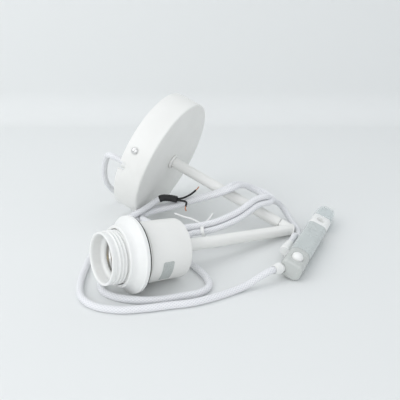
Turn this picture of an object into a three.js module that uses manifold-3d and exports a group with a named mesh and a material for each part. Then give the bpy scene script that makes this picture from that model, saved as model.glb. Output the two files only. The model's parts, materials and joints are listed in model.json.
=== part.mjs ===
// A wall-lamp fitting with a corded hand switch: canopy, bent tube arm, E27 lampholder with its
// shade ring, a hand switch on a braided cord, and the cord's bare end. Millimetres, +Z up.
// The fitting lies on a level surface on three points: canopy rim, elbow and shade ring.
import * as THREE from "three";
import { mergeVertices } from "three/addons/utils/BufferGeometryUtils.js";
import Module from "manifold-3d";

const wasm = await Module();
wasm.setup();
const { Vector2, Vector3 } = THREE;
const DEG = Math.PI / 180;

// Driving dimensions
const GAP = 0.3; // clearance between touching pieces
const TUBE = { radius: 5, bore: 3.8, seam: 11, seamGap: 0.8, beyondElbow: 1.5 };
const CANOPY = { radius: 60, depth: 25, wall: 1.2, face: 129.5, edge: 1.5 };
const CANOPY_AZIMUTH = 155.9 * DEG; // plan direction from elbow to canopy
const SCREW_ANGLE = 20 * DEG; // side screws and crossbar, around the canopy axis
const CLIP_ANGLE = 3 * DEG; // cord clip, around the canopy axis
const CLIP_REACH = 52; // from the canopy axis to the middle of the clip's eye
const HOLDER_AZIMUTH = 214.7 * DEG; // plan direction from elbow to lampholder
const HOUSING = { radius: 23.2, wall: 1.3, rear: 124, front: 162.6 };
const RING = { radius: 29, bore: 20.4, rear: 164, edge: 0.5, washer: 28.3 };
const LABEL = { angle: -20 * DEG, half: 22 * DEG, from: 22, width: 9 }; // from: behind the housing's front
const BARREL = { crest: 19.9, root: 19.0, pitch: 2.5, rear: 151, mouth: 188.7 };
const SWITCH = { width: 18, height: 15, corner: 4.5, wall: 1.4, length: 130 };
const NOSE = { from: 99.3, shoulder: 110 };
const SEAM = { centre: 15, radius: 10, gap: 0.5 }; // the end cap's round far edge, seen from above
const SPLIT = -1; // height of the joint between the switch body's two shells
const INLET = { x: 12.6, y: -4.4, from: 29, to: 44 };
const OUTLET = { x: 6.2, y: -2, z: 2.6, turn: 25 * DEG, length: 11 };
const BUTTON = { radius: 4.5, z: 9.8, proud: 4.2 };
const SWITCH_AZIMUTH = 65 * DEG;
const SWITCH_ROLL = 20 * DEG; // it leans on its lower right corner
const SWITCH_END = new Vector2(69.5, -167.5); // plan place of its near end
const ORIGIN = new Vector2(1.8, -89.8); // plan centre of the lamp fitting, from where the layout is laid out
const ELBOW = new Vector3(82.6, -85.6, 5.46); // where the arm's two axes meet
const CORD = { radius: 2.75, step: 15, sides: 8 };
const HANK = { halfWidth: 5.8, halfHeight: 3.05 }; // two strands side by side

// Materials
const finish = (color, roughness, metalness = 0) =>
  new THREE.MeshStandardMaterial({ color, roughness, metalness });
const white_paint = finish(0xf1f1ee, 0.45);
const white_plastic = finish(0xeeeeea, 0.35);
const grey_plastic = finish(0x9aa0a1, 0.3);
const clear_plastic = finish(0xd5dcdd, 0.1);
const steel = finish(0xb9bcbe, 0.35, 0.9);
const brass = finish(0xc9a861, 0.35, 0.9);
const copper = finish(0xc0704a, 0.35, 0.9);
const ceramic = finish(0xe4e2da, 0.5);
const fabric = finish(0xe9eaf0, 0.9);
const black_sleeve = finish(0x141414, 0.6);
const blue_pvc = finish(0x3d6fa8, 0.5);
const brown_pvc = finish(0x5a3b28, 0.5);
const paper = finish(0xb9bcb8, 0.7);

// Solids
function solid(geometry) {
  const bare = geometry.index ? geometry.toNonIndexed() : geometry.clone();
  bare.deleteAttribute("normal");
  bare.deleteAttribute("uv");
  const merged = mergeVertices(bare, 1e-4);
  const kept = [];
  const index = merged.index.array;
  for (let i = 0; i < index.length; i += 3) {
    const [a, b, c] = [index[i], index[i + 1], index[i + 2]];
    if (a !== b && b !== c && a !== c) kept.push(a, b, c);
  }
  return new wasm.Manifold(
    new wasm.Mesh({
      numProp: 3,
      vertProperties: merged.attributes.position.array,
      triVerts: new Uint32Array(kept),
    }),
  );
}

function geometryOf(body) {
  const mesh = body.getMesh();
  const geometry = new THREE.BufferGeometry();
  geometry.setAttribute("position", new THREE.BufferAttribute(mesh.vertProperties, 3));
  geometry.setIndex(new THREE.BufferAttribute(mesh.triVerts, 1));
  return geometry;
}

const cut = (body, ...tools) =>
  geometryOf(tools.reduce((left, tool) => left.subtract(solid(tool)), solid(body)));
const join = (...bodies) => geometryOf(bodies.map(solid).reduce((a, b) => a.add(b)));
const common = (a, b) => geometryOf(solid(a).intersect(solid(b)));

// A profile of [radius, along] points, counterclockwise, turned about Z.
function lathe(profile, segments = 40) {
  const points = profile.map(([r, z]) => new Vector2(r, z));
  if (profile[0][0] > 0) points.push(points[0].clone());
  return new THREE.LatheGeometry(points, segments).rotateX(Math.PI / 2);
}
const rod = (r, z0, z1, segments = 20) => lathe([[0, z0], [r, z0], [r, z1], [0, z1]], segments);
const pipe = (outer, inner, z0, z1, segments = 32) =>
  lathe([[inner, z0], [outer, z0], [outer, z1], [inner, z1]], segments);
const box = (w, d, h, x = 0, y = 0, z = 0) => new THREE.BoxGeometry(w, d, h).translate(x, y, z);

// Points of a rounded corner, from one angle to another.
function arc(cx, cy, r, from, to, count = 4) {
  return Array.from({ length: count + 1 }, (_, i) => {
    const a = (from + ((to - from) * i) / count) * DEG;
    return [cx + r * Math.cos(a), cy + r * Math.sin(a)];
  });
}

function prism(outline, z0, z1, holes = []) {
  const shape = new THREE.Shape(outline.map(([x, y]) => new Vector2(x, y)));
  shape.holes = holes.map(([x, y, r]) => new THREE.Path().absarc(x, y, r, 0, 2 * Math.PI));
  const options = { depth: z1 - z0, bevelEnabled: false, curveSegments: 10 };
  return new THREE.ExtrudeGeometry(shape, options).translate(0, 0, z0);
}
const polygon = (r, sides) =>
  Array.from({ length: sides }, (_, i) => {
    const a = (2 * Math.PI * i) / sides;
    return [r * Math.cos(a), r * Math.sin(a)];
  });
const nut = (r, bore, z0, z1) => prism(polygon(r, 6), z0, z1, [[0, 0, bore]]);

// A round strand of constant section along hand-placed points.
function strand(points, radius, step, sides = CORD.sides) {
  const path = new THREE.CatmullRomCurve3(points.map((p) => new Vector3(...p)), false, "centripetal");
  const section = new THREE.Shape(polygon(radius, sides).map(([x, y]) => new Vector2(x, y)));
  const steps = Math.max(6, Math.round(path.getLength() / step));
  return new THREE.ExtrudeGeometry(section, { steps, extrudePath: path, bevelEnabled: false });
}

// A closed band of flat-lying strands along a loop, its broad side level.
function band(points, halfWidth, halfHeight, count) {
  const path = new THREE.CatmullRomCurve3(points.map((p) => new Vector3(...p)), true, "centripetal");
  const rings = Array.from({ length: count }, (_, i) => {
    const centre = path.getPointAt(i / count);
    const along = path.getTangentAt(i / count);
    const aside = new Vector3(along.y, -along.x, 0).normalize();
    const up = new Vector3().crossVectors(aside, along);
    return polygon(1, 10).map(([x, y]) => {
      const [w, h] = [Math.sign(x) * Math.abs(x) ** 0.6, Math.sign(y) * Math.abs(y) ** 0.6];
      return centre.clone().addScaledVector(aside, w * halfWidth).addScaledVector(up, h * halfHeight);
    });
  });
  const faces = [];
  rings.forEach((ring, s) => {
    const next = rings[(s + 1) % count];
    ring.forEach((a, i) => {
      const j = (i + 1) % ring.length;
      faces.push(a, next[j], ring[j], a, next[i], next[j]);
    });
  });
  return new THREE.BufferGeometry().setFromPoints(faces);
}

// Frames
const root = new THREE.Group();
function add(parent, name, geometry, material) {
  const mesh = new THREE.Mesh(geometry, material);
  mesh.name = name;
  parent.add(mesh);
}

// A group whose +Z runs along an arm, +X is level and +Y leans upward.
function armFrame(azimuth, tilt) {
  const along = new Vector3(Math.cos(azimuth), Math.sin(azimuth), 0).multiplyScalar(Math.cos(tilt));
  along.z = Math.sin(tilt);
  const level = new Vector3(-Math.sin(azimuth), Math.cos(azimuth), 0);
  const group = new THREE.Group();
  const up = new Vector3().crossVectors(along, level);
  group.quaternion.setFromRotationMatrix(new THREE.Matrix4().makeBasis(level, up, along));
  group.position.copy(ELBOW);
  root.add(group);
  return group;
}

// The tilt at which a disc on an arm rests on the same surface as the elbow.
function restingTilt(reach, radius, edge) {
  const r = radius - edge;
  const l = reach + edge;
  return Math.acos((ELBOW.z - edge) / Math.hypot(r, l)) - Math.atan2(l, r);
}

const upper = armFrame(CANOPY_AZIMUTH, restingTilt(CANOPY.face, CANOPY.radius, CANOPY.edge));
const lower = armFrame(HOLDER_AZIMUTH, restingTilt(RING.rear, RING.radius, RING.edge));
root.updateMatrixWorld(true);
const upperPoint = (x, y, z) => upper.localToWorld(new Vector3(x, y, z)).toArray();
const lowerPoint = (x, y, z) => lower.localToWorld(new Vector3(x, y, z)).toArray();
const axisOf = (group) => new Vector3(0, 0, 1).applyQuaternion(group.quaternion);

// Arm: the lower tube with its mitred elbow, the upper tube, and the nipple that joins them
function buildArm() {
  const turn = lower.quaternion.clone().invert().multiply(upper.quaternion);
  const toUpper = (geometry) => geometry.applyQuaternion(turn);
  const along = new Vector3(0, 0, 1);
  const alongUpper = along.clone().applyQuaternion(turn);
  const inward = along.clone().add(alongUpper).normalize();
  const trim = new THREE.BoxGeometry(60, 60, 40).translate(0, 0, -20 - TUBE.beyondElbow);
  trim.applyQuaternion(new THREE.Quaternion().setFromUnitVectors(along, inward));
  const outer = join(
    rod(TUBE.radius, -14, 134, 24),
    toUpper(rod(TUBE.radius, -14, TUBE.seam, 24)),
  );
  const bores = [rod(TUBE.bore, 0, 140, 16), toUpper(rod(TUBE.bore, 0, 20, 16))];
  add(lower, "arm_tube_lower", cut(outer, trim, ...bores, new THREE.SphereGeometry(TUBE.bore, 12, 8)),
    white_paint);
  add(upper, "arm_tube_upper", pipe(TUBE.radius, TUBE.bore, TUBE.seam + TUBE.seamGap, 141, 24), white_paint);
  add(upper, "elbow_nipple", pipe(TUBE.bore - GAP, 2.4, 5.5, 20, 16), steel);
}

// Canopy: shell, crossbar with its side screws, tube fastening, terminal block, cord clip
function buildCanopy() {
  const { radius: r, wall, face, edge } = CANOPY;
  const back = face + CANOPY.depth;
  const inside = face + wall;
  const hole = TUBE.radius + GAP;
  const profile = [
    [hole, face],
    ...arc(r - edge, face + edge, edge, -90, 0, 3),
    [r, back],
    [r - wall, back],
    [r - wall, face + edge],
    [r - edge, inside],
    [hole, inside],
  ];
  const screwHeight = face + 16.5;
  const sideways = (geometry, angle) => geometry.rotateY(Math.PI / 2).rotateZ(angle);
  const screwHole = sideways(rod(2.2, -70, 70, 12), SCREW_ANGLE).translate(0, 0, screwHeight);
  const cordSlot = box(10, 7.5, 12, r, 0, back).rotateZ(CLIP_ANGLE);
  add(upper, "canopy_shell", cut(lathe(profile, 60), screwHole, cordSlot), white_paint);
  add(upper, "tube_collar", pipe(7.2, hole, face - 2.2, face - GAP), white_paint);
  add(upper, "tube_washer", pipe(10, hole, inside + GAP, inside + 1.6), steel);
  add(upper, "tube_nut", nut(9, hole + 0.1, inside + 2, inside + 6.5), steel);

  const bar = new THREE.Group();
  bar.rotation.z = SCREW_ANGLE;
  upper.add(bar);
  const [half, thick, top, foot] = [56.9, 1.6, back - 2, face + 11];
  const bent = [
    [-half, foot], [-half + thick, foot], [-half + thick, top - thick], [half - thick, top - thick],
    [half - thick, foot], [half, foot], [half, top], [-half, top],
  ];
  const strip = prism(bent, -7, 7).rotateX(Math.PI / 2);
  const drill = (radius, x) => rod(radius, top - 5, top + 5, 12).translate(x, 0, 0);
  const tabHole = rod(1.9, -70, 70, 16).rotateY(Math.PI / 2).translate(0, 0, screwHeight);
  add(bar, "canopy_crossbar",
    cut(strip, tabHole, drill(5.5, 0), drill(2.6, 36), drill(2.6, -36), drill(1.9, 18)), steel);
  for (const [name, side] of [["side_screw_a", 1], ["side_screw_b", -1]]) {
    const shank = rod(1.6, half - 5, r + 1, 12);
    const head = lathe([[0, r + GAP], [3.2, r + GAP], [3.0, r + 1.1], [1.6, r + 1.5], [0, r + 1.5]], 20);
    const slot = box(0.8, 8, 1.2, 0, 0, r + 1.5);
    const screw = cut(join(shank, head), slot).rotateY((side * Math.PI) / 2);
    add(bar, name, screw.translate(0, 0, screwHeight), steel);
  }
  const earth = join(rod(1.6, top - 8, top + 1, 12).translate(18, 0, 0),
    rod(3.4, top + GAP, top + 1.8, 20).translate(18, 0, 0));
  add(bar, "earth_screw", earth, brass);

  const block = new THREE.Group();
  block.position.set(0, 25, inside + GAP);
  upper.add(block);
  const pitch = 9;
  const wireWay = (x) => rod(1.6, -20, 20, 12).rotateX(Math.PI / 2).translate(x, 0, 4);
  const screwWay = (x, y) => rod(2.2, 4, 20, 14).translate(x, y, 0);
  const poles = [-pitch, 0, pitch];
  add(block, "terminal_block",
    cut(box(30, 16, 11, 0, 0, 5.5), ...poles.map(wireWay), ...poles.map((x) => screwWay(x, 0))),
    white_plastic);
  poles.forEach((x, i) =>
    add(block, `terminal_screw_${i + 1}`, cut(rod(1.9, 6.2, 10.4, 14), box(0.7, 6, 1, 0, 0, 10.4))
      .translate(x, 0, 0), brass));

  const clip = new THREE.Group();
  clip.rotation.z = CLIP_ANGLE;
  upper.add(clip);
  const eye = rod(5, back - 9, back - 1, 20).translate(CLIP_REACH, 0, 0);
  const foot_plate = box(1.2, 12, 10, 57.4, 0, back - 14);
  const web = box(6, 6, 4, 55.2, 0, back - 11);
  const way = rod(CORD.radius + GAP, back - 16, back + 2, 20).translate(CLIP_REACH, 0, 0);
  add(clip, "cord_clip", cut(join(eye, foot_plate, web), way), white_plastic);
}

const clipPoint = (z) =>
  upperPoint(CLIP_REACH * Math.cos(CLIP_ANGLE), CLIP_REACH * Math.sin(CLIP_ANGLE), z);

// Lampholder: housing, threaded barrel with the lamp socket in it, shade ring and slip washer
function threaded(outline, from, to, pitch, root_r, crest_r) {
  for (let z = from; z + pitch <= to + 1e-6; z += pitch)
    outline.push([root_r, z + 0.15 * pitch], [crest_r, z + 0.5 * pitch], [root_r, z + 0.85 * pitch]);
}

function buildHolder() {
  const { radius: r, wall, rear, front } = HOUSING;
  const hole = TUBE.radius + GAP;
  add(lower, "holder_housing", lathe([
    [hole, rear],
    ...arc(r - 2, rear + 2, 2, -90, 0, 3),
    [r, front],
    [r - wall, front],
    [r - wall, rear + 2.5],
    [r - 2.5, rear + wall],
    [hole, rear + wall],
  ], 40), white_paint);
  add(lower, "holder_nut", nut(9, hole + 0.1, rear + wall + GAP, rear + wall + 4.3), steel);

  const { crest, root: core, pitch, rear: heel, mouth } = BARREL;
  const outline = [[11, heel], [r - wall - GAP, heel], [r - wall - GAP, heel + 3], [core, heel + 3.4]];
  threaded(outline, RING.rear - 0.6, mouth - 3.4, pitch, core, crest);
  outline.push([core, mouth - 2.6], [crest - 0.4, mouth - 2.2], [crest - 0.4, mouth - 0.4],
    [crest - 0.9, mouth], [18, mouth], [17.4, mouth - 0.6], [16.9, mouth - 8], [15, mouth - 9.5],
    [14.6, mouth - 10], [14.6, heel + 6], [11, heel + 6]);
  add(lower, "holder_barrel", lathe(outline, 32), white_plastic);

  const shell = [[14.3, heel + 9.2], [14.3, mouth - 10.8], [13.6, mouth - 10.8]];
  const turns = [];
  threaded(turns, heel + 9.6, mouth - 11.4, 3.63, 13.7, 12.9);
  add(lower, "screw_shell", lathe([...shell, ...turns.reverse(), [13.7, heel + 9.2]], 24), steel);
  add(lower, "contact_base", pipe(14.2, 2, heel + 6.3, heel + 8.9, 24), ceramic);
  const tongue = [
    [-7, 0], [6.2, 4.6], [6, 5.2], [5.2, 5.6], [-7, 1.1],
  ].map(([x, z]) => [x, z + heel + 9.2]);
  add(lower, "centre_contact", prism(tongue, -2.5, 2.5).rotateX(Math.PI / 2), brass);
  add(lower, "contact_rivet", rod(1.5, heel + 1, heel + 8.9, 12), brass);
  for (const [name, x] of [["live_terminal", -6], ["neutral_terminal", 6]]) {
    const way = rod(1.4, heel - 10, heel + 3.5, 12).translate(x, 0, 0);
    add(lower, name, cut(box(5.5, 6, 5, x, 0, heel + 3), way), brass);
  }

  const { radius: rim, bore, rear: seat, edge } = RING;
  add(lower, "slip_washer", pipe(RING.washer, bore, front + GAP, seat - GAP, 40), black_sleeve);
  add(lower, "shade_ring", lathe([
    [bore, seat],
    ...arc(rim - edge, seat + edge, edge, -90, 0, 2),
    ...arc(rim - edge, seat + 3 - edge, edge, 0, 90, 2),
    [27.6, seat + 3.4],
    ...arc(29.5, seat + 11.2, 6.6, 225, 180, 3),
    [22.8, seat + 11.8],
    [22.2, seat + 12.4],
    [bore, seat + 12.4],
  ], 40), white_plastic);

  const label = new THREE.Shape();
  const [inner, outer] = [r + 0.25, r + 0.5];
  label.absarc(0, 0, outer, -LABEL.half, LABEL.half, false);
  label.absarc(0, 0, inner, LABEL.half, -LABEL.half, true);
  const options = { depth: LABEL.width, bevelEnabled: false, curveSegments: 8 };
  const patch = new THREE.ExtrudeGeometry(label, options);
  add(lower, "rating_label", patch.rotateZ(LABEL.angle).translate(0, 0, front - LABEL.from), paper);
}

// Conductors inside: from the terminal block through the bent arm to the lampholder
function buildLeads() {
  const across = new Vector3().crossVectors(axisOf(upper), axisOf(lower)).normalize();
  const inward = axisOf(upper).add(axisOf(lower)).normalize();
  const leads = [["lead_live", 1, brown_pvc], ["lead_neutral", -1, blue_pvc]];
  for (const [name, side, colour] of leads) {
    const aside = ([x, y, z]) => [
      x + across.x * side, y + across.y * side, z + across.z * side,
    ];
    const route = [
      upperPoint(side * 9, 13, 135),
      upperPoint(side * 8, 11, 136),
      upperPoint(side * 4, 4, 145.5),
      aside(upperPoint(0, 0, 141)),
      aside(upperPoint(0, 0, 120)),
      aside(upperPoint(0, 0, 60)),
      aside(upperPoint(0, 0, 8)),
      aside(ELBOW.clone().addScaledVector(inward, 1.6).toArray()),
      aside(lowerPoint(0, 0, 8)),
      aside(lowerPoint(0, 0, 60)),
      aside(lowerPoint(0, 0, 128)),
      aside(lowerPoint(0, 0, 136)),
      lowerPoint(-side * 6, 0, 146),
      lowerPoint(-side * 6, 0, 152),
    ];
    add(root, name, strand(route, 0.8, 9, 6), colour);
  }
}

// The cord's own two conductors, from its inner end to the far side of the terminal block
function buildCores() {
  const cores = {
    cord_core_live: [[53, 4, 138.7], [48, 14, 137.6], [37, 31, 137.4], [23, 43.5, 136.4],
      [11.5, 44.5, 135], [9, 38, 135], [9, 28.5, 135]],
    cord_core_neutral: [[50.9, 1.5, 138.7], [43, 10.5, 135.8], [31, 31, 133.4], [16, 47.5, 133.4],
      [0, 50.5, 134.4], [-8, 46, 135], [-9, 38, 135], [-9, 28.5, 135]],
  };
  for (const [name, route] of Object.entries(cores))
    add(root, name, strand(route.map((p) => upperPoint(...p)), 0.9, 7, 6),
      name === "cord_core_live" ? brown_pvc : blue_pvc);
}

// Hand switch: local +Z from its near end to its nose, +X to its left, +Y up out of its top
const hand = new THREE.Group();
const SWITCH_CENTRE_Z =
  (SWITCH.width / 2 - SWITCH.corner) * Math.sin(SWITCH_ROLL) +
  (SWITCH.height / 2 - SWITCH.corner) * Math.cos(SWITCH_ROLL) +
  SWITCH.corner;
function placeSwitch() {
  const along = new Vector3(Math.cos(SWITCH_AZIMUTH), Math.sin(SWITCH_AZIMUTH), 0);
  const left = new Vector3(-along.y, along.x, 0).multiplyScalar(Math.cos(SWITCH_ROLL));
  left.z = Math.sin(SWITCH_ROLL);
  const top = new Vector3().crossVectors(along, left);
  hand.quaternion.setFromRotationMatrix(new THREE.Matrix4().makeBasis(left, top, along));
  hand.position.set(SWITCH_END.x, SWITCH_END.y, SWITCH_CENTRE_Z);
  root.add(hand);
  root.updateMatrixWorld(true);
}
const handPoint = (x, y, z) => hand.localToWorld(new Vector3(x, y, z)).toArray();

// The switch's section, drawn in from its outside by an inset and scaled for the rounded nose.
function section(inset = 0, scale = 1) {
  const [w, h] = [SWITCH.width / 2 - inset, SWITCH.height / 2 - inset];
  const r = Math.max(SWITCH.corner - inset, 0.8);
  const corners = [[w - r, h - r, 0], [r - w, h - r, 90], [r - w, r - h, 180], [w - r, r - h, 270]];
  return corners.flatMap(([x, y, a]) => arc(x, y, r, a, a + 90, 4))
    .map(([x, y]) => [x * scale, y * scale]);
}

// A closed skin over matching sections, each [outline, z].
function loft(stations) {
  const count = stations[0][0].length;
  const rings = stations.map(([outline, z]) => outline.map(([x, y]) => new Vector3(x, y, z)));
  const faces = [];
  for (let s = 0; s + 1 < rings.length; s++)
    for (let i = 0; i < count; i++) {
      const j = (i + 1) % count;
      const [a, b, c, d] = [rings[s][i], rings[s][j], rings[s + 1][j], rings[s + 1][i]];
      faces.push(a, b, c, a, c, d);
    }
  for (let i = 1; i + 1 < count; i++) {
    const [first, last] = [rings[0], rings[rings.length - 1]];
    faces.push(first[0], first[i + 1], first[i], last[0], last[i], last[i + 1]);
  }
  return new THREE.BufferGeometry().setFromPoints(faces);
}

function noseStations(inset) {
  const reach = SWITCH.length - NOSE.shoulder - inset;
  const stations = [[section(inset), NOSE.from - (inset ? 1 : 0)]];
  for (let i = 0; i <= 6; i++) {
    const a = (i / 6) * 84 * DEG;
    const scale = Math.max(Math.cos(a), 0.02) ** 0.7;
    stations.push([section(inset, scale), NOSE.shoulder + reach * Math.sin(a)]);
  }
  return stations;
}

const outletWay = (geometry) =>
  geometry.rotateY(Math.PI - OUTLET.turn).translate(OUTLET.x, OUTLET.y, OUTLET.z);

function buildSwitch() {
  const { width: w, height: h, wall } = SWITCH;
  const upright = (r, z, y0, y1, segments = 24) =>
    rod(r, y0, y1, segments).rotateX(-Math.PI / 2).translate(0, 0, z);
  const tubeBetween = (z0, z1) => prism(section(), z0, z1);
  const hollowBetween = (z0, z1) => prism(section(wall), z0, z1);

  // End cap: a box open towards the body, rounded off at its far edge
  const capEdge = join(upright(SEAM.radius, SEAM.centre, -20, 20, 40),
    box(40, 40, 30, 0, 0, SEAM.centre - 15 + 4.4));
  const capBody = common(loft([[section(1.2), 0], [section(), 1.4], [section(), 26]]), capEdge);
  const buttonWay = upright(BUTTON.radius + GAP, BUTTON.z, 0, 20);
  add(hand, "switch_end_cap",
    cut(capBody, hollowBetween(wall + 0.4, 30), buttonWay, outletWay(rod(4, -6, 14, 20))),
    grey_plastic);

  // Body: lower and upper shell, cut back along the cap's round edge
  const capClear = join(upright(SEAM.radius + SEAM.gap, SEAM.centre, -20, 20, 40),
    box(40, 40, 30, 0, 0, SEAM.centre - 15 + 4.4 + SEAM.gap));
  const [from, to] = [12, 79.7];
  const below = box(40, 20, 100, 0, SPLIT - 10, 50);
  const above = box(40, 20, 100, 0, SPLIT + GAP + 10, 50);
  const sleeve = cut(tubeBetween(from, to), hollowBetween(from - 1, to - wall), capClear);
  const inletPort = rod(2.9, 0, 9, 16).rotateY(Math.PI / 2).translate(5, INLET.y, INLET.from + 6);
  add(hand, "switch_lower_shell", cut(common(sleeve, below), inletPort), grey_plastic);
  add(hand, "switch_upper_shell", common(sleeve, above), grey_plastic);

  // White collar with a round finger recess, and the clear nose
  const collar = prism(section(0.15), 80, 99);
  const recess = upright(3.3, 89.5, h / 2 - 3.5, 20);
  const hollow = prism(section(2.2), 81.6, 99.5);
  const recessCup = upright(4.6, 89.5, h / 2 - 5, h / 2 - 1);
  add(hand, "switch_collar", cut(join(cut(collar, hollow), recessCup), recess), white_plastic);
  add(hand, "switch_nose", cut(loft(noseStations(0)), loft(noseStations(1.6))), clear_plastic);
  add(hand, "nose_lamp", lathe([[0, 99.3], [3.2, 99.3], [3.2, 100.7], [2.5, 101], [2.5, 104.6],
    [1.8, 106.4], [0, 107.2]], 16), clear_plastic);
  add(hand, "lamp_seat", prism(section(2.6), 96.4, 99), white_plastic);

  // Cord entries: a moulded side inlet and an angled outlet at the near end
  const { x, y, from: inletFrom, to: inletTo } = INLET;
  const snout = lathe([[0, inletFrom], [3.9, inletFrom], [4.3, inletFrom + 1.5], [4.3, inletFrom + 9],
    [3.6, inletTo], [0, inletTo]], 20).translate(x, y, 0);
  const rib = box(4.4, 5, 8, w / 2 + 2.4, y, INLET.from + 6);
  const stub = rod(2.6, 0, 3.4, 16).rotateY(Math.PI / 2).translate(w / 2 - 3, y, INLET.from + 6);
  const bore = rod(CORD.radius + GAP, inletFrom + 2, inletTo + 1, 20).translate(x, y, 0);
  const ribCut = box(2 * (w / 2 + GAP), h + 4, 20, 0, 0, INLET.from + 6);
  add(hand, "inlet_gland", cut(join(cut(join(snout, rib), ribCut), stub), bore), white_plastic);
  const relief = lathe([[CORD.radius + GAP, -2], [3.7, -2], [3.7, 3.9], [4.5, 3.9], [4.5, 5],
    [3.6, OUTLET.length], [CORD.radius + GAP, OUTLET.length]], 20);
  add(hand, "outlet_gland", outletWay(relief), white_plastic);
}

// Push button with its stem, return spring and bridging contact over two fixed contacts
function buildButton() {
  const { radius: r, z, proud } = BUTTON;
  const top = SWITCH.height / 2;
  const group = new THREE.Group();
  group.position.z = z;
  group.rotation.x = -Math.PI / 2;
  hand.add(group);
  const dome = Array.from({ length: 6 }, (_, i) => {
    const a = (i / 5) * 90 * DEG;
    return [r * Math.cos(a), top + 0.6 + (proud - 0.6) * Math.sin(a)];
  });
  add(group, "push_button", lathe([[0, -2.3], [1.2, -2.3], [1.2, 5], [5.2, 5], [5.2, 5.8], [r, 5.8],
    ...dome], 24), white_plastic);
  add(group, "contact_bridge", box(8.4, 2.6, 0.5, 0, 0, -2.85), copper);
  add(group, "spring_plate", cut(box(12.4, 8, 0.6, 0, 0, -1.2), rod(1.6, -3, 1, 12)), white_plastic);
  const [coil, wire, turns, low, high] = [2.6, 0.28, 4, -0.5, 4.4];
  const points = Array.from({ length: turns * 8 + 1 }, (_, i) => {
    const a = (i * Math.PI) / 4;
    return [coil * Math.cos(a), coil * Math.sin(a), low + ((high - low) * i) / (turns * 8)];
  });
  add(group, "button_spring", strand(points, wire, 2, 6), steel);
  for (const [name, side] of [["fixed_contact_a", 1], ["fixed_contact_b", -1]]) {
    const leaf = box(2.6, 3, 0.6, side * 3.1, 0, -5.45);
    const lip = box(0.6, 3, 1.2, side * 4.5, 0, -5.15);
    add(group, name, join(leaf, lip), brass);
  }
}

// The braided cord: from the canopy to the hank, the hank over the arm, on to the switch, and
// from the switch to the bare end. Points are along its middle, in millimetres.
const hankLoop = [
  [-7, -106.8, 13], [13, -107, 17.5], [34, -96.5, 23], [50, -83.5, 29.2], [60.5, -76, 28.8],
  [65, -66, 27.5], [62.5, -55, 27.5], [54, -49, 30], [43, -52, 36], [34, -62, 40.2],
  [25, -69.5, 38.5], [11, -67, 32], [-2, -62.5, 26.5], [-17, -59.6, 21], [-32, -61.5, 17.6],
  [-45, -64.5, 15.5], [-56, -72, 13], [-53, -86, 10.5], [-42, -98, 9.5], [-26, -105.5, 10.5],
];
const cordToHank = [
  [-81, -69, 71.5], [-88, -51, 61], [-92.2, -38.8, 49], [-94.4, -28, 36], [-93.6, -18, 24],
  [-89, -9.5, 14], [-81.5, -6.5, 7.2], [-73, -12.5, 3.6], [-66.5, -31, 2.8], [-64.5, -52, 2.8],
  [-67, -80, 2.8], [-68, -108, 2.8], [-68.5, -138, 2.8], [-73, -165, 2.8], [-75.5, -178, 2.8],
  [-71, -188.5, 2.8], [-61, -195.5, 2.8], [-47, -199.4, 2.8], [-30, -199, 2.8], [-14, -194.5, 2.8],
  [0, -189.5, 2.8], [6.5, -181, 2.8], [5, -168, 2.8], [-3, -152, 2.8], [-12, -138, 3.2],
  [-15, -126, 6], [-13, -116.5, 9.6],
];
const cordToSwitch = [
  [70.5, -57, 22], [77, -50, 16], [83, -52, 8.5], [87.6, -64, 3.4], [90.2, -81, 2.8],
  [88.6, -96, 3.4], [83.4, -108, 5.8],
];
const cordToEnd = [
  [45, -177, 8.5], [36, -181, 4.6], [25, -187, 2.8], [9, -196.5, 2.8], [-6, -203, 2.8],
  [-22, -206.5, 2.8], [-40, -210.5, 2.8], [-58, -212, 2.8], [-75, -207, 2.8], [-86, -196, 2.8],
  [-91, -178, 2.8], [-92, -155, 2.8], [-91, -128, 2.8], [-85, -106, 4], [-75, -89.5, 10],
  [-65, -81, 15.5], [-54.5, -76, 19.6], [-46.5, -69, 22.8], [-40, -62.2, 25.2], [-36.6, -61, 26.3],
];
const sleeveRoute = [[-34.8, -60.7, 26.7], [-28, -61.4, 26.7], [-21.5, -63.2, 26]];
const conductorRoutes = {
  conductor_brown: [[-20.9, -62.6, 26.2], [-15.5, -61.8, 27.2], [-8.5, -58, 29.4], [-4.5, -53, 31]],
  conductor_blue: [[-20.9, -64.6, 25.9], [-16.5, -67.8, 26.6], [-12.6, -72.8, 27], [-13, -77, 25.4]],
};
const bareTips = {
  copper_tip_brown: [[-4.2, -52.6, 31.1], [-2.4, -50, 32], [-1.4, -46.4, 32.4]],
  copper_tip_blue: [[-13, -77.4, 25.2], [-13.4, -80, 23.8], [-12.6, -82.6, 23]],
};

function buildCord() {
  const back = CANOPY.face + CANOPY.depth;
  const thick = (points) => strand(points, CORD.radius, CORD.step);
  const throughClip = [-15, -8, 1, 6].map((d) => clipPoint(back + d));
  add(root, "cord_to_hank", thick([...throughClip, ...cordToHank]), fabric);
  add(root, "cord_hank", band(hankLoop, HANK.halfWidth, HANK.halfHeight, 36), fabric);
  const { x, y, to } = INLET;
  const inward = [18, 9, 1, -8].map((d) => handPoint(x, y, to + d));
  add(root, "cord_to_switch", thick([...cordToSwitch, ...inward]), fabric);
  const out = new Vector3(Math.sin(OUTLET.turn), 0, -Math.cos(OUTLET.turn));
  const outward = [0, 5, 10, 15].map((d) =>
    handPoint(OUTLET.x + out.x * d, OUTLET.y, OUTLET.z + out.z * d));
  add(root, "cord_to_end", thick([...outward, ...cordToEnd]), fabric);
  add(root, "heat_shrink_sleeve", strand(sleeveRoute, 3.2, 5), black_sleeve);
  for (const [name, route] of Object.entries(conductorRoutes))
    add(root, name, strand(route, 0.95, 3, 6), black_sleeve);
  for (const [name, route] of Object.entries(bareTips))
    add(root, name, strand(route, 0.6, 2, 6), copper);
}

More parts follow.
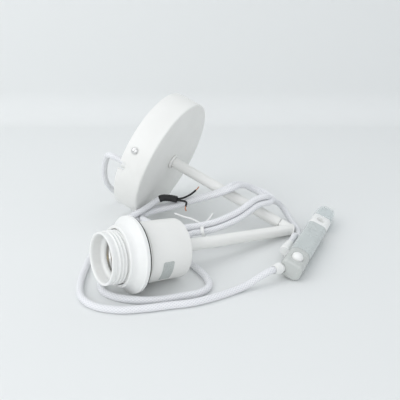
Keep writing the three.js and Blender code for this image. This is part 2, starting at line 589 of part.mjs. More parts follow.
// The wire tie round the near side of the hank, with its two free ends
function buildTie() {
  const at = new Vector3(3, -107.6, 15.2);
  const along = new Vector3(0.975, -0.02, 0.215).normalize();
  const aside = new Vector3(along.y, -along.x, 0).normalize();
  const turn = new THREE.Matrix4().makeBasis(aside, new Vector3().crossVectors(along, aside), along);
  const oval = (w, h) => polygon(1, 16).map(([x, y]) => [x * w, y * h]);
  const { halfWidth: w, halfHeight: h } = HANK;
  const loop = cut(prism(oval(w + 2.6, h + 2.2), -1.5, 1.5), prism(oval(w + 1.6, h + 1.2), -3, 3));
  loop.applyMatrix4(turn).translate(at.x, at.y, at.z);
  const ends = [
    [[2, -106, 19.6], [-6, -100, 22], [-15, -94.5, 22.5], [-23, -89.5, 23.5]],
    [[3, -105, 19.6], [8, -100, 22.5], [11.5, -93.5, 25]],
  ];
  add(root, "hank_tie", join(loop, ...ends.map((points) => strand(points, 0.9, 4, 6))), white_plastic);
}

buildArm();
buildCanopy();
buildHolder();
buildLeads();
buildCores();
placeSwitch();
buildSwitch();
buildButton();
buildCord();
buildTie();

root.position.set(-ORIGIN.x, -ORIGIN.y, 0);
export default root;
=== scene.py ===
"""Looks of a corded wall-lamp fitting with its hand switch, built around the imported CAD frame.

Lengths are millimetres in a piece's own frame and in the routes, and metres where a name or a comment
doesn't say otherwise. The fitting lies on the floor plane z = 0.
"""
import json
from math import acos, atan2, cos, hypot, pi, radians, sin, sqrt

import bmesh
import bpy
from mathutils import Matrix, Vector


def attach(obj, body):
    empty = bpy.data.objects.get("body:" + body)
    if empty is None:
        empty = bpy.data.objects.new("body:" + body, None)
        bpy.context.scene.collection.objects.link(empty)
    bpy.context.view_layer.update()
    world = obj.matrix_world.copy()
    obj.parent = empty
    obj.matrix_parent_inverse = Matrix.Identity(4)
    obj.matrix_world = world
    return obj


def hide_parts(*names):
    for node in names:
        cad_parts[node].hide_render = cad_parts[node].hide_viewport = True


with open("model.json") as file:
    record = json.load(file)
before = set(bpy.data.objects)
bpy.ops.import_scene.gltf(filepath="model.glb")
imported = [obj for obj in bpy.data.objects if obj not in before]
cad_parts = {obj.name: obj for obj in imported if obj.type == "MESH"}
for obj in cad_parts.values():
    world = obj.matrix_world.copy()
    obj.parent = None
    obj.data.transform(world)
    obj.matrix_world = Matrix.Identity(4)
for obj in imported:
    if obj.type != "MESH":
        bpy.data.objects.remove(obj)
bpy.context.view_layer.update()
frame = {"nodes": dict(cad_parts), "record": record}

MM = 0.001
BODY = "fixture"


def linked(name, data):
    """A new object in the scene."""
    made = bpy.data.objects.new(name, data)
    bpy.context.scene.collection.objects.link(made)
    return made

# ---------- camera
# It looks level along +Y and 22 degrees down at the point the fitting was laid out around.
ORIGIN = Vector((0.0018, -0.0898, 0.0))  # the row frame's zero, in the layout's coordinates
CAMERA_PITCH = radians(22)
CAMERA_DISTANCE = 0.5756
SENSOR_MM = 36.0
LENS_MM = 48.6


def make_camera():
    data = bpy.data.cameras.new("camera")
    data.lens = LENS_MM
    data.sensor_width = SENSOR_MM
    data.clip_start = 0.01
    camera = linked("camera", data)
    back = Vector((0, -cos(CAMERA_PITCH), sin(CAMERA_PITCH)))
    camera.location = back * CAMERA_DISTANCE - ORIGIN
    camera.rotation_euler = (pi / 2 - CAMERA_PITCH, 0, 0)
    bpy.context.scene.camera = camera


make_camera()


# ---------- frames of the parts
def frame_from(across, up, along, origin):
    """A matrix from a part's own millimetres to the row frame's metres."""
    m = Matrix((across, up, along)).transposed().to_4x4()
    return Matrix.Translation(origin) @ m @ Matrix.Scale(MM, 4)


def moved(x, y, z):
    return Matrix.Translation((x, y, z))


Z_TO_X = Matrix.Rotation(pi / 2, 4, "Y")
Z_TO_Y = Matrix.Rotation(-pi / 2, 4, "X")
Z_FROM_Y = Matrix.Rotation(pi / 2, 4, "X")
ELBOW = Vector((0.0826, -0.0856, 0.00546)) - ORIGIN
TUBE_RADIUS, TUBE_BORE, ELBOW_SEAM = 5.0, 3.8, 11.0
TUBE_HOLE = TUBE_RADIUS + 0.3
PAST_ELBOW, SEAM_GAP, UPPER_END, LOWER_END = 14.0, 0.8, 141.0, 134.0


def arm_frame(azimuth, reach, radius, edge):
    """+Z runs along an arm whose disc, at that reach, rests on the same floor as the elbow."""
    r, l = radius - edge, reach + edge
    height = ELBOW.z / MM
    tilt = acos((height - edge) / hypot(r, l)) - atan2(l, r)
    a = radians(azimuth)
    along = Vector((cos(a) * cos(tilt), sin(a) * cos(tilt), sin(tilt)))
    level = Vector((-sin(a), cos(a), 0))
    return frame_from(level, along.cross(level), along, ELBOW)


CANOPY_FACE, CANOPY_DEPTH, CANOPY_RADIUS = 129.5, 25.0, 60.0
RING_SEAT, RING_RADIUS = 164.0, 29.0
UPPER = arm_frame(155.9, CANOPY_FACE, CANOPY_RADIUS, 1.5)
LOWER = arm_frame(214.7, RING_SEAT, RING_RADIUS, 0.5)

SWITCH_WIDTH, SWITCH_HEIGHT, SWITCH_CORNER, SWITCH_LENGTH = 18.0, 15.0, 4.5, 130.0


def hand_frame(azimuth=65.0, roll=20.0, end=(0.0695, -0.1675)):
    """+Z runs from the hand switch's near end to its nose, +Y out of its top."""
    a, lean = radians(azimuth), radians(roll)
    along = Vector((cos(a), sin(a), 0))
    left = Vector((-along.y, along.x, 0)) * cos(lean) + Vector((0, 0, sin(lean)))
    centre = (
        (SWITCH_WIDTH / 2 - SWITCH_CORNER) * sin(lean)
        + (SWITCH_HEIGHT / 2 - SWITCH_CORNER) * cos(lean)
        + SWITCH_CORNER
    )
    return frame_from(left, along.cross(left), along, Vector((*end, centre * MM)) - ORIGIN)


HAND = hand_frame()
BUTTON_RADIUS, BUTTON_PLACE = 4.5, 9.8
BUTTON = HAND @ moved(0, 0, BUTTON_PLACE) @ Z_TO_Y


# ---------- mesh building
SMOOTH_TO = 32.0  # degrees; sharper edges stay crisp
WELD_MM, WELD_M = 1e-4, 1e-7


def new_piece(name, vertices, faces, place=None, smooth_to=SMOOTH_TO):
    """A smooth-shaded mesh object; its edges sharper than smooth_to degrees stay crisp."""
    mesh = bpy.data.meshes.new(name)
    mesh.from_pydata([tuple(v) for v in vertices], [], faces)
    tidy = bmesh.new()
    tidy.from_mesh(mesh)
    bmesh.ops.remove_doubles(tidy, verts=tidy.verts, dist=WELD_M if place is None else WELD_MM)
    bmesh.ops.recalc_face_normals(tidy, faces=tidy.faces)
    tidy.to_mesh(mesh)
    tidy.free()
    if place is not None:
        mesh.transform(place)
    shade(mesh, smooth_to)
    return linked(name, mesh)


def quads(rows, count, start=0, round_rows=False, round_points=True):
    """Faces between neighbouring rows of count points each, the first at vertex start."""
    faces = []
    for row in range(rows if round_rows else rows - 1):
        here, there = start + row * count, start + (row + 1) % rows * count
        for i in range(count if round_points else count - 1):
            j = (i + 1) % count
            faces.append((here + i, here + j, there + j, there + i))
    return faces


def end_faces(count, total):
    """The first and the last row of count points, as two faces."""
    return tuple(reversed(range(count))), tuple(range(total - count, total))


def shade(mesh, smooth_to=SMOOTH_TO):
    mesh.polygons.foreach_set("use_smooth", [True] * len(mesh.polygons))
    mesh.set_sharp_from_angle(angle=radians(smooth_to))
    mesh.update()


def filleted(outline, radius, closed=True, steps=3):
    """The outline with each corner rounded by up to that radius."""
    n = len(outline)
    rounded = []
    for i, point in enumerate(outline):
        if not closed and i in (0, n - 1):
            rounded.append(point)
            continue
        here = Vector(point)
        before, after = Vector(outline[i - 1]) - here, Vector(outline[(i + 1) % n]) - here
        reach = min(radius, 0.42 * before.length, 0.42 * after.length)
        a, b = here + before.normalized() * reach, here + after.normalized() * reach
        for k in range(steps + 1):
            t = k / steps
            rounded.append(tuple(a * (1 - t) ** 2 + here * 2 * t * (1 - t) + b * t * t))
    return rounded


def arc(cx, cy, r, start, end, count=8):
    angles = [radians(start + (end - start) * i / count) for i in range(count + 1)]
    return [(cx + r * cos(a), cy + r * sin(a)) for a in angles]


def turned(name, outline, place, segments=128, closed=True):
    """A turned piece: (radius, along) points swept round +Z."""
    vertices = []
    for s in range(segments):
        a = 2 * pi * s / segments
        vertices += [(r * cos(a), r * sin(a), z) for r, z in outline]
    faces = quads(segments, len(outline), round_rows=True, round_points=closed)
    return new_piece(name, vertices, faces, place)


def tube(name, outer, inner, z0, z1, place, segments=64, edge=0.25):
    outline = filleted([(inner, z0), (outer, z0), (outer, z1), (inner, z1)], edge)
    return turned(name, outline, place, segments)


def rod(name, r, z0, z1, place, segments=48, edge=0.2):
    outline = filleted([(0, z0), (r, z0), (r, z1), (0, z1)], edge, closed=False)
    return turned(name, outline, place, segments, closed=False)


def lofted(name, stations, place, smooth_to=SMOOTH_TO):
    """A closed skin through sections of equal point counts, each (outline, z)."""
    count = len(stations[0][0])
    vertices = [(x, y, z) for outline, z in stations for x, y in outline]
    first, last = end_faces(count, len(vertices))
    return new_piece(name, vertices, [first, *quads(len(stations), count), last], place, smooth_to)


def block(name, low, high, place):
    corners = [(x, y, z) for x in (low[0], high[0]) for y in (low[1], high[1]) for z in (low[2], high[2])]
    faces = [(0, 1, 3, 2), (4, 6, 7, 5), (0, 4, 5, 1), (2, 3, 7, 6), (0, 2, 6, 4), (1, 5, 7, 3)]
    return new_piece(name, corners, faces, place)


def worked(piece, operation, *tools):
    """Joins, cuts or crosses a piece with tools, which are used up."""
    for tool in tools:
        step = piece.modifiers.new("work", "BOOLEAN")
        step.object = tool
        step.operation = operation
        step.solver = "EXACT"
    apply_modifiers(piece)
    for tool in tools:
        bpy.data.objects.remove(tool)
    return piece


def merged(first, *others):
    """Joins pieces into the first one, each with its surface as it is."""
    with bpy.context.temp_override(active_object=first, selected_editable_objects=[first, *others]):
        bpy.ops.object.join()
    return first


def apply_modifiers(piece):
    depsgraph = bpy.context.evaluated_depsgraph_get()
    depsgraph.update()
    mesh = bpy.data.meshes.new_from_object(piece.evaluated_get(depsgraph))
    piece.modifiers.clear()
    piece.data = mesh
    shade(mesh)


def softened(piece, width=0.25, segments=2, angle=30.0):
    """Rounds a piece's sharp edges, so that they catch the light."""
    step = piece.modifiers.new("edges", "BEVEL")
    step.width = width * MM
    step.segments = segments
    step.limit_method = "ANGLE"
    step.angle_limit = radians(angle)
    return piece


# ---------- materials
def new_look(name, colour, roughness, metallic=0.0):
    material = bpy.data.materials.new(name)
    material.use_nodes = True
    shader = material.node_tree.nodes["Principled BSDF"]
    shader.inputs["Base Color"].default_value = (*colour, 1)
    shader.inputs["Roughness"].default_value = roughness
    shader.inputs["Metallic"].default_value = metallic
    return material, shader


def add_node(material, kind, **values):
    node = material.node_tree.nodes.new(kind)
    for key, value in values.items():
        if key in node.inputs:
            node.inputs[key].default_value = value
        else:
            setattr(node, key, value)
    return node


def join(material, output, socket):
    material.node_tree.links.new(output, socket)


def noise(material, size_mm, detail=3.0, stretch=None):
    """Noise whose spots are about size_mm across, optionally stretched along the axes."""
    place = add_node(material, "ShaderNodeTexCoord")
    source = place.outputs["Object"]
    if stretch:
        mapping = add_node(material, "ShaderNodeMapping")
        mapping.inputs["Scale"].default_value = stretch
        join(material, source, mapping.inputs["Vector"])
        source = mapping.outputs["Vector"]
    texture = add_node(material, "ShaderNodeTexNoise", Scale=1000.0 / size_mm, Detail=detail)
    join(material, source, texture.inputs["Vector"])
    return texture.outputs["Fac"]


def ranged(material, factor, low, high):
    scale = add_node(material, "ShaderNodeMapRange")
    scale.inputs["From Min"].default_value = 0.3
    scale.inputs["From Max"].default_value = 0.7
    scale.inputs["To Min"].default_value = low
    scale.inputs["To Max"].default_value = high
    join(material, factor, scale.inputs["Value"])
    return scale.outputs["Result"]


def ramped(material, factor, low, high):
    """A colour between two (position, colour) stops."""
    ramp = add_node(material, "ShaderNodeValToRGB")
    for stop, (position, colour) in zip(ramp.color_ramp.elements, (low, high)):
        stop.position = position
        stop.color = (*colour, 1)
    join(material, factor, ramp.inputs["Fac"])
    return ramp.outputs["Color"]


def mottled(material, shader, size_mm, spread):
    """Lets the colour drift a little, as paint and moulded plastic do."""
    colour = Vector(shader.inputs["Base Color"].default_value[:3])
    low, high = (0.35, colour * (1 - spread)), (0.65, colour * (1 + spread * 0.5))
    join(material, ramped(material, noise(material, size_mm), low, high), shader.inputs["Base Color"])


def grained(material, shader, size_mm, depth_mm, strength, stretch=None):
    """A fine raised grain of that depth."""
    bump = add_node(material, "ShaderNodeBump", Strength=strength, Distance=depth_mm * MM)
    join(material, noise(material, size_mm, 4.0, stretch), bump.inputs["Height"])
    join(material, bump.outputs["Normal"], shader.inputs["Normal"])


def polished_unevenly(material, shader, size_mm, spread):
    middle = shader.inputs["Roughness"].default_value
    factor = ranged(material, noise(material, size_mm), middle - spread, middle + spread)
    join(material, factor, shader.inputs["Roughness"])


def surface(name, colour, roughness, drift, grain=(), polish=(), metallic=0.0, sockets=()):
    """A look with drift (size, spread), grain (size, depth, strength, stretch) and polish (size, spread)."""
    material, shader = new_look(name, colour, roughness, metallic)
    mottled(material, shader, *drift)
    if grain:
        grained(material, shader, *grain)
    if polish:
        polished_unevenly(material, shader, *polish)
    for socket, value in sockets:
        shader.inputs[socket].default_value = value
    return material


def smoke_moulding(name, colour):
    return surface(name, colour, 0.26, (11, 0.025), (2.4, 0.015, 0.12), (7, 0.05),
                   sockets=[("Coat Weight", 0.3)])


def metal(name, colour, roughness, stretch=(1, 1, 9)):
    return surface(name, colour, roughness, (5, 0.07), (0.6, 0.012, 0.5, stretch), (3, 0.09), 1.0)


def insulation(name, colour, roughness=0.42):
    return surface(name, colour, roughness, (6, 0.1), (1.1, 0.03, 0.5), (4, 0.07))


def calculated(material, operation, *values):
    """A math node's result; each value is a number or a socket."""
    node = add_node(material, "ShaderNodeMath", operation=operation)
    for socket, value in zip(node.inputs, values):
        if isinstance(value, bpy.types.NodeSocket):
            join(material, value, socket)
        else:
            socket.default_value = value
    return node.outputs[0]


def wave(material, around, around_weight, along, along_weight, phase=0):
    """The sine of a weighted sum of two sockets plus a phase."""
    one = calculated(material, "MULTIPLY", around, around_weight)
    other = calculated(material, "MULTIPLY", along, along_weight)
    both = calculated(material, "ADD", one, other)
    return calculated(material, "SINE", calculated(material, "ADD", both, phase))


BRAID_CARRIERS = 8  # yarn bundles that wind each way round the cord
BRAID_SLOPE = 0.8  # turns of a bundle in one circumference of length


def braid():
    """Woven sleeve: yarns cross in two directions. UV runs in cord circumferences and turns."""
    material, shader = new_look("white_braid", (0.88, 0.89, 0.93), 0.78)
    place = add_node(material, "ShaderNodeTexCoord")
    axes = add_node(material, "ShaderNodeSeparateXYZ")
    join(material, place.outputs["UV"], axes.inputs["Vector"])
    along, around = axes.outputs["X"], axes.outputs["Y"]
    turn = 2 * pi
    bundles = turn * BRAID_CARRIERS
    one = wave(material, around, bundles, along, bundles * BRAID_SLOPE)
    other = wave(material, around, bundles, along, -bundles * BRAID_SLOPE, 1.6)
    yarn = wave(material, around, turn * 48, along, turn * 36)
    height = calculated(material, "MULTIPLY_ADD", yarn, 0.18, calculated(material, "MAXIMUM", one, other))
    bump = add_node(material, "ShaderNodeBump", Strength=0.9, Distance=0.16 * MM)
    join(material, height, bump.inputs["Height"])
    join(material, bump.outputs["Normal"], shader.inputs["Normal"])
    # Painted shade: the colour follows the weave's height, darker in the hollows between the yarns and
    # lighter on their crowns.
    low, high = (0.0, (0.80, 0.81, 0.84)), (0.8, (0.94, 0.945, 0.96))
    join(material, ramped(material, height, low, high), shader.inputs["Base Color"])
    shader.inputs["Sheen Weight"].default_value = 0.35
    shader.inputs["Sheen Roughness"].default_value = 0.4
    return material


LOOKS = {
    "white_paint": surface("white_powder_coat", (0.86, 0.86, 0.835), 0.44, (22, 0.02), (0.7, 0.05, 0.5),
                           (9, 0.06)),
    "white_plastic": surface("white_moulding", (0.87, 0.875, 0.86), 0.34, (14, 0.018), (1.6, 0.02, 0.35),
                             (6, 0.05), sockets=[("Subsurface Weight", 0.08),
                                                 ("Subsurface Radius", (0.002, 0.002, 0.0018))]),
    "grey_plastic": smoke_moulding("smoke_moulding", (0.56, 0.60, 0.59)),
    "clear_plastic": surface("clear_moulding", (0.74, 0.80, 0.80), 0.06, (9, 0.03), polish=(7, 0.03),
                             sockets=[("Alpha", 0.42), ("Coat Weight", 0.6), ("Coat Roughness", 0.03)]),
    "steel": metal("zinc_plated_steel", (0.74, 0.74, 0.73), 0.36),
    "brass": metal("brass", (0.72, 0.54, 0.26), 0.32),
    "copper": metal("bare_copper", (0.78, 0.34, 0.17), 0.36, (1, 1, 1)),
    "ceramic": surface("ceramic", (0.80, 0.77, 0.70), 0.5, (1.5, 0.06), (0.5, 0.04, 0.5)),
    "fabric": braid(),
    "black_sleeve": insulation("black_sleeve", (0.014, 0.014, 0.015), 0.5),
    "blue_pvc": insulation("blue_insulation", (0.05, 0.14, 0.42)),
    "brown_pvc": insulation("brown_insulation", (0.16, 0.07, 0.035)),
    "paper": surface("label_stock", (0.52, 0.55, 0.535), 0.55, (1.2, 0.1), (0.3, 0.01, 0.4)),
}


def dress_cad_nodes():
    """Gives each CAD node its slot's look. Finer pieces replace most of them further down."""
    for row in frame["record"]["subparts"]:
        mesh = frame["nodes"][row["node"]].data
        mesh.materials.clear()
        mesh.materials.append(LOOKS[row["material_slot"]])


dress_cad_nodes()


def dressed(piece, slot, *nodes, body=BODY, look=None):
    """Gives a piece its slot's look, or the look passed, and its body, in place of the CAD nodes it stands
    for.
    """
    piece.data.materials.clear()
    piece.data.materials.append(look or LOOKS[slot])
    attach(piece, body)
    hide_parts(*nodes)
    return piece


# ---------- the free cord
CORD_DIAMETER = 0.0055
CORD_SIDES = 20
CORD_STEP = 0.0011


def hermite(p1, p2, m1, m2, t):
    start = p1 * (2 * t**3 - 3 * t**2 + 1) + m1 * (t**3 - 2 * t**2 + t)
    return start + p2 * (3 * t**2 - 2 * t**3) + m2 * (t**3 - t**2)


def smooth_line(points, step):
    """Points every step along the centripetal curve through the given ones."""
    points = [Vector(p) for p in points]
    extended = [2 * points[0] - points[1], *points, 2 * points[-1] - points[-2]]
    fine = []
    for p0, p1, p2, p3 in zip(extended, extended[1:], extended[2:], extended[3:]):
        d0, d1, d2 = (max((b - a).length, 1e-9) ** 0.5 for a, b in ((p0, p1), (p1, p2), (p2, p3)))
        m1 = ((p1 - p0) / d0 - (p2 - p0) / (d0 + d1) + (p2 - p1) / d1) * d1
        m2 = ((p2 - p1) / d1 - (p3 - p1) / (d1 + d2) + (p3 - p2) / d2) * d1
        parts = max(4, int((p2 - p1).length / step * 2))
        fine += [hermite(p1, p2, m1, m2, k / parts) for k in range(parts)]
    fine.append(extended[-2].copy())
    return evenly(fine, step)


def evenly(fine, step):
    lengths = [0.0]
    for a, b in zip(fine, fine[1:]):
        lengths.append(lengths[-1] + (b - a).length)
    count = max(2, round(lengths[-1] / step))
    line, i = [], 0
    for k in range(count + 1):
        target = lengths[-1] * k / count
        while i < len(fine) - 2 and lengths[i + 1] < target:
            i += 1
        span = max(lengths[i + 1] - lengths[i], 1e-12)
        line.append(fine[i].lerp(fine[i + 1], (target - lengths[i]) / span))
    return line


def sweep(name, line, radius, sides=16, radius_at=None):
    """A closed round tube along a line, with UVs in circumferences along and turns around."""
    tangents = [(line[min(i + 1, len(line) - 1)] - line[max(i - 1, 0)]).normalized()
                for i in range(len(line))]
    side = tangents[0].orthogonal().normalized()
    mesh_points, rows, travelled = [], [], 0.0
    for i, (centre, tangent) in enumerate(zip(line, tangents)):
        side = (side - tangent * side.dot(tangent)).normalized()
        up = tangent.cross(side)
        travelled += (centre - line[i - 1]).length if i else 0.0
        rows.append(travelled / (2 * pi * radius))
        r = radius_at(i / (len(line) - 1)) if radius_at else radius
        for k in range(sides):
            a = 2 * pi * k / sides
            mesh_points.append(centre + side * (r * cos(a)) + up * (r * sin(a)))
    faces = [*quads(len(line), sides), *end_faces(sides, len(mesh_points))]
    uvs = []
    for u0, u1 in zip(rows, rows[1:]):
        for k in range(sides):
            v0, v1 = k / sides, (k + 1) / sides
            uvs += [(u0, v0), (u0, v1), (u1, v1), (u1, v0)]
    uvs += [(0, 0)] * (2 * sides)
    mesh = bpy.data.meshes.new(name)
    mesh.from_pydata([tuple(p) for p in mesh_points], [], faces)
    layer = mesh.uv_layers.new(name="along_around")
    layer.data.foreach_set("uv", [c for uv in uvs for c in uv])
    shade(mesh, 50)
    return linked(name, mesh)


# The routes in millimetres, in the layout's coordinates, as in the part's own source.
CORD_TO_HANK = [
    (-81, -69, 71.5), (-88, -51, 61), (-92.2, -38.8, 49), (-94.4, -28, 36), (-93.6, -18, 24),
    (-89, -9.5, 14), (-81.5, -6.5, 7.2), (-73, -12.5, 3.6), (-66.5, -31, 2.8), (-64.5, -52, 2.8),
    (-67, -80, 2.8), (-68, -108, 2.8), (-68.5, -138, 2.8), (-73, -165, 2.8), (-75.5, -178, 2.8),
    (-71, -188.5, 2.8), (-61, -195.5, 2.8), (-47, -199.4, 2.8), (-30, -199, 2.8), (-14, -194.5, 2.8),
    (0, -189.5, 2.8), (6.5, -181, 2.8), (5, -168, 2.8), (-3, -152, 2.8), (-12, -138, 3.2), (-15, -126, 6),
    (-13, -116.5, 9.6),
]
HANK_LOOP = [
    (-7, -106.8, 13), (13, -107, 17.5), (34, -96.5, 23), (50, -83.5, 29.2), (60.5, -76, 28.8),
    (65, -66, 27.5), (62.5, -55, 27.5), (54, -49, 30), (43, -52, 36), (34, -62, 40.2), (25, -69.5, 38.5),
    (11, -67, 32), (-2, -62.5, 26.5), (-17, -59.6, 21), (-32, -61.5, 17.6), (-45, -64.5, 15.5),
    (-56, -72, 13), (-53, -86, 10.5), (-42, -98, 9.5), (-26, -105.5, 10.5),
]
CORD_TO_SWITCH = [
    (70.5, -57, 22), (77, -50, 16), (83, -52, 8.5), (87.6, -64, 3.4), (90.2, -81, 2.8), (88.6, -96, 3.4),
    (83.4, -108, 5.8),
]
CORD_TO_END = [
    (45, -177, 8.5), (36, -181, 4.6), (25, -187, 2.8), (9, -196.5, 2.8), (-6, -203, 2.8),
    (-22, -206.5, 2.8), (-40, -210.5, 2.8), (-58, -212, 2.8), (-75, -207, 2.8), (-86, -196, 2.8),
    (-91, -178, 2.8), (-92, -155, 2.8), (-91, -128, 2.8), (-85, -106, 4), (-75, -89.5, 10),
    (-65, -81, 15.5), (-54.5, -76, 19.6), (-46.5, -69, 22.8), (-40, -62.2, 25.2), (-36.6, -61, 26.3),
]
CLIP_REACH, CLIP_ANGLE = 52.0, radians(3)
CANOPY_BACK = CANOPY_FACE + CANOPY_DEPTH
INLET_X, INLET_Y, INLET_START, INLET_STOP = 12.6, -4.4, 29.0, 44.0
OUTLET, OUTLET_TURN, OUTLET_LENGTH = (6.2, -2.0, 2.6), radians(25), 11.0
HANK_TURNS = 2
STRAND_SHIFT = 0.00285  # half the pitch of two strands that lie side by side
STRAND_STACK = 0.0052  # height of a third strand that rides on the two


def placed(points):
    return [Vector(p) * MM - ORIGIN for p in points]


def ease(x, start, end):
    t = min(1.0, max(0.0, (x - start) / (end - start)))
    return t * t * (3 - 2 * t)


def hank_strand():
    """The cord's turns round the hank: outer strand, inner strand, then on top of the two."""
    loop = placed(HANK_LOOP)
    n = len(loop)
    line = []
    for k in range(2 * (HANK_TURNS * n + 4) + 1):
        x = k / 2
        i, t = int(x) % n, x - int(x)
        here, there = loop[i], loop[(i + 1) % n]
        centre = smooth_loop_point(loop, i, t)
        along = (there - here).normalized().lerp((there - loop[i - 1]).normalized(), 0.5)
        aside = Vector((along.y, -along.x, 0)).normalized()
        shift = 1 - 2 * ease(x, n - 2.4, n - 0.6) + ease(x, 2 * n - 2.6, 2 * n - 1.2)
        lift = ease(x, 2 * n - 4.0, 2 * n - 2.6)
        line.append(centre + aside * (STRAND_SHIFT * shift) + Vector((0, 0, STRAND_STACK * lift)))
    return line


def smooth_loop_point(loop, i, t):
    n = len(loop)
    p0, p1, p2, p3 = (loop[(i + k) % n] for k in (-1, 0, 1, 2))
    return hermite(p1, p2, (p2 - p0) * 0.5, (p3 - p1) * 0.5, t)


def hand_points(distances, x, y, z, direction):
    return [HAND @ (Vector((x, y, z)) + direction * d) for d in distances]


def make_cords():
    clip = Vector((cos(CLIP_ANGLE), sin(CLIP_ANGLE), 0)) * CLIP_REACH
    through_clip = [UPPER @ (clip + Vector((0, 0, CANOPY_BACK + d))) for d in (-15, -8, 1, 6)]
    inward = hand_points((18, 9, 1, -8), INLET_X, INLET_Y, INLET_STOP, Vector((0, 0, 1)))
    route = [*through_clip, *placed(CORD_TO_HANK), *hank_strand(), *placed(CORD_TO_SWITCH), *inward]
    line = smooth_line(route, CORD_STEP)
    supply = sweep("braided_cord_to_switch", line, CORD_DIAMETER / 2, CORD_SIDES)
    dressed(supply, "fabric", "cord_to_hank", "cord_hank", "cord_to_switch")

    way = Vector((sin(OUTLET_TURN), 0, -cos(OUTLET_TURN)))
    outward = hand_points((0, 5, 10, 15), *OUTLET, way)
    tail_line = smooth_line([*outward, *placed(CORD_TO_END)], CORD_STEP)
    tail = sweep("braided_cord_to_bare_end", tail_line, CORD_DIAMETER / 2, CORD_SIDES)
    dressed(tail, "fabric", "cord_to_end")
    return (supply, line), (tail, tail_line)


(supply_cord, supply_line), (tail_cord, tail_line) = make_cords()


# ---------- the bare end
SLEEVE_ROUTE = [(-38.5, -61.2, 25.7), (-34.8, -60.7, 26.7), (-28, -61.4, 26.7), (-21.5, -63.2, 26)]
CORE_ROUTES = {
    "bare_end_core_brown": [(-22.5, -62.6, 26.2), (-15.5, -61.8, 27.2),
                            (-8.5, -58, 29.4), (-4.2, -52.6, 31.1)],
    "bare_end_core_blue": [(-22.5, -64.2, 25.9), (-16.5, -67.8, 26.6),
                           (-12.6, -72.8, 27), (-13, -77.4, 25.2)],
}
TIP_ROUTES = {
    "copper_strands_brown": [(-4.6, -53.1, 31), (-2.4, -50, 32), (-1.4, -46.4, 32.4)],
    "copper_strands_blue": [(-13, -76.8, 25.4), (-13.4, -80, 23.8), (-12.6, -82.6, 23)],
}
STRANDS_IN_A_CORE, STRAND_RADIUS, STRAND_TURNS = 6, 0.00016, 0.9
CORE_RADIUS, SLEEVE_RADIUS, SHRUNK_RADIUS = 0.00095, 0.0032, 0.00305
FINE_STEP, FINEST_STEP = 0.0004, 0.0003


def make_bare_end():
    def shrunk(t):
        crimp = 0.00012 * sin(9 * t * pi) * sin(23 * t)
        ends = 0.00022 * (ease(t, 0.0, 0.06) - ease(t, 0.93, 1.0))
        return SHRUNK_RADIUS + ends + crimp

    sleeve_line = smooth_line(placed(SLEEVE_ROUTE), FINE_STEP)
    sleeve = sweep("heat_shrink_sleeve_skin", sleeve_line, SLEEVE_RADIUS, 28, shrunk)
    dressed(sleeve, "black_sleeve", "heat_shrink_sleeve")
    pieces = [sleeve]
    for (name, route), node in zip(CORE_ROUTES.items(), ("conductor_brown", "conductor_blue")):
        core = sweep(name, smooth_line(placed(route), FINE_STEP), CORE_RADIUS, 16)
        pieces.append(dressed(core, "black_sleeve", node))
    for (name, route), node in zip(TIP_ROUTES.items(), ("copper_tip_brown", "copper_tip_blue")):
        line = smooth_line(placed(route), FINEST_STEP)
        strands = []
        for s in range(STRANDS_IN_A_CORE):
            twisted = []
            for i, p in enumerate(line):
                a = 2 * pi * (s / STRANDS_IN_A_CORE + STRAND_TURNS * i / len(line))
                spread = 0.00036 + 0.00022 * (i / len(line)) ** 2
                twisted.append(p + Vector((cos(a), 0.3 * sin(a), sin(a))) * spread)
            strands.append(sweep(f"{name}_{s}", twisted, STRAND_RADIUS, 7))
        tip = merged(*strands)
        tip.name = name
        pieces.append(dressed(tip, "copper", node))
    return pieces


bare_end = make_bare_end()


# ---------- arm
def make_arm():
    turn = LOWER.inverted() @ UPPER
    turn.translation = (0, 0, 0)
    up_tube = (turn.to_3x3() @ Vector((0, 0, 1))).normalized()
    inward = (Vector((0, 0, 1)) + up_tube).normalized()
    lower = rod("arm_lower_tube_skin", TUBE_RADIUS, -PAST_ELBOW, LOWER_END, LOWER, 72, 0.01)
    stub = rod("stub", TUBE_RADIUS, -PAST_ELBOW, ELBOW_SEAM, UPPER, 72, 0.22)
    worked(lower, "UNION", stub)
    trim = block("trim", (-30, -30, -40), (30, 30, -1.5), LOWER @ to_axis(inward))
    bore = TUBE_BORE
    ways = (rod("way_a", bore, 0, 140, LOWER, 48), rod("way_b", bore, 0, 20, UPPER, 48))
    knee = turned("knee", [(0, -bore), *arc(0, 0, bore, -90, 90, 12)[1:-1], (0, bore)], LOWER, 32, False)
    worked(lower, "DIFFERENCE", trim, *ways, knee)
    softened(lower, 0.35, 3, 40)
    dressed(lower, "white_paint", "arm_tube_lower")
    upper = tube("arm_upper_tube_skin", TUBE_RADIUS, bore, ELBOW_SEAM + SEAM_GAP, UPPER_END, UPPER, 72, 0.35)
    dressed(upper, "white_paint", "arm_tube_upper")


def to_axis(direction):
    """A turn that takes +Z to a direction."""
    return Vector((0, 0, 1)).rotation_difference(direction).to_matrix().to_4x4()


# ---------- canopy
CANOPY_WALL, CANOPY_EDGE = 1.2, 1.5
SCREW_TURN = Matrix.Rotation(radians(20), 4, "Z")
CLIP_TURN = Matrix.Rotation(CLIP_ANGLE, 4, "Z")
SCREW_HEIGHT = CANOPY_FACE + 16.5


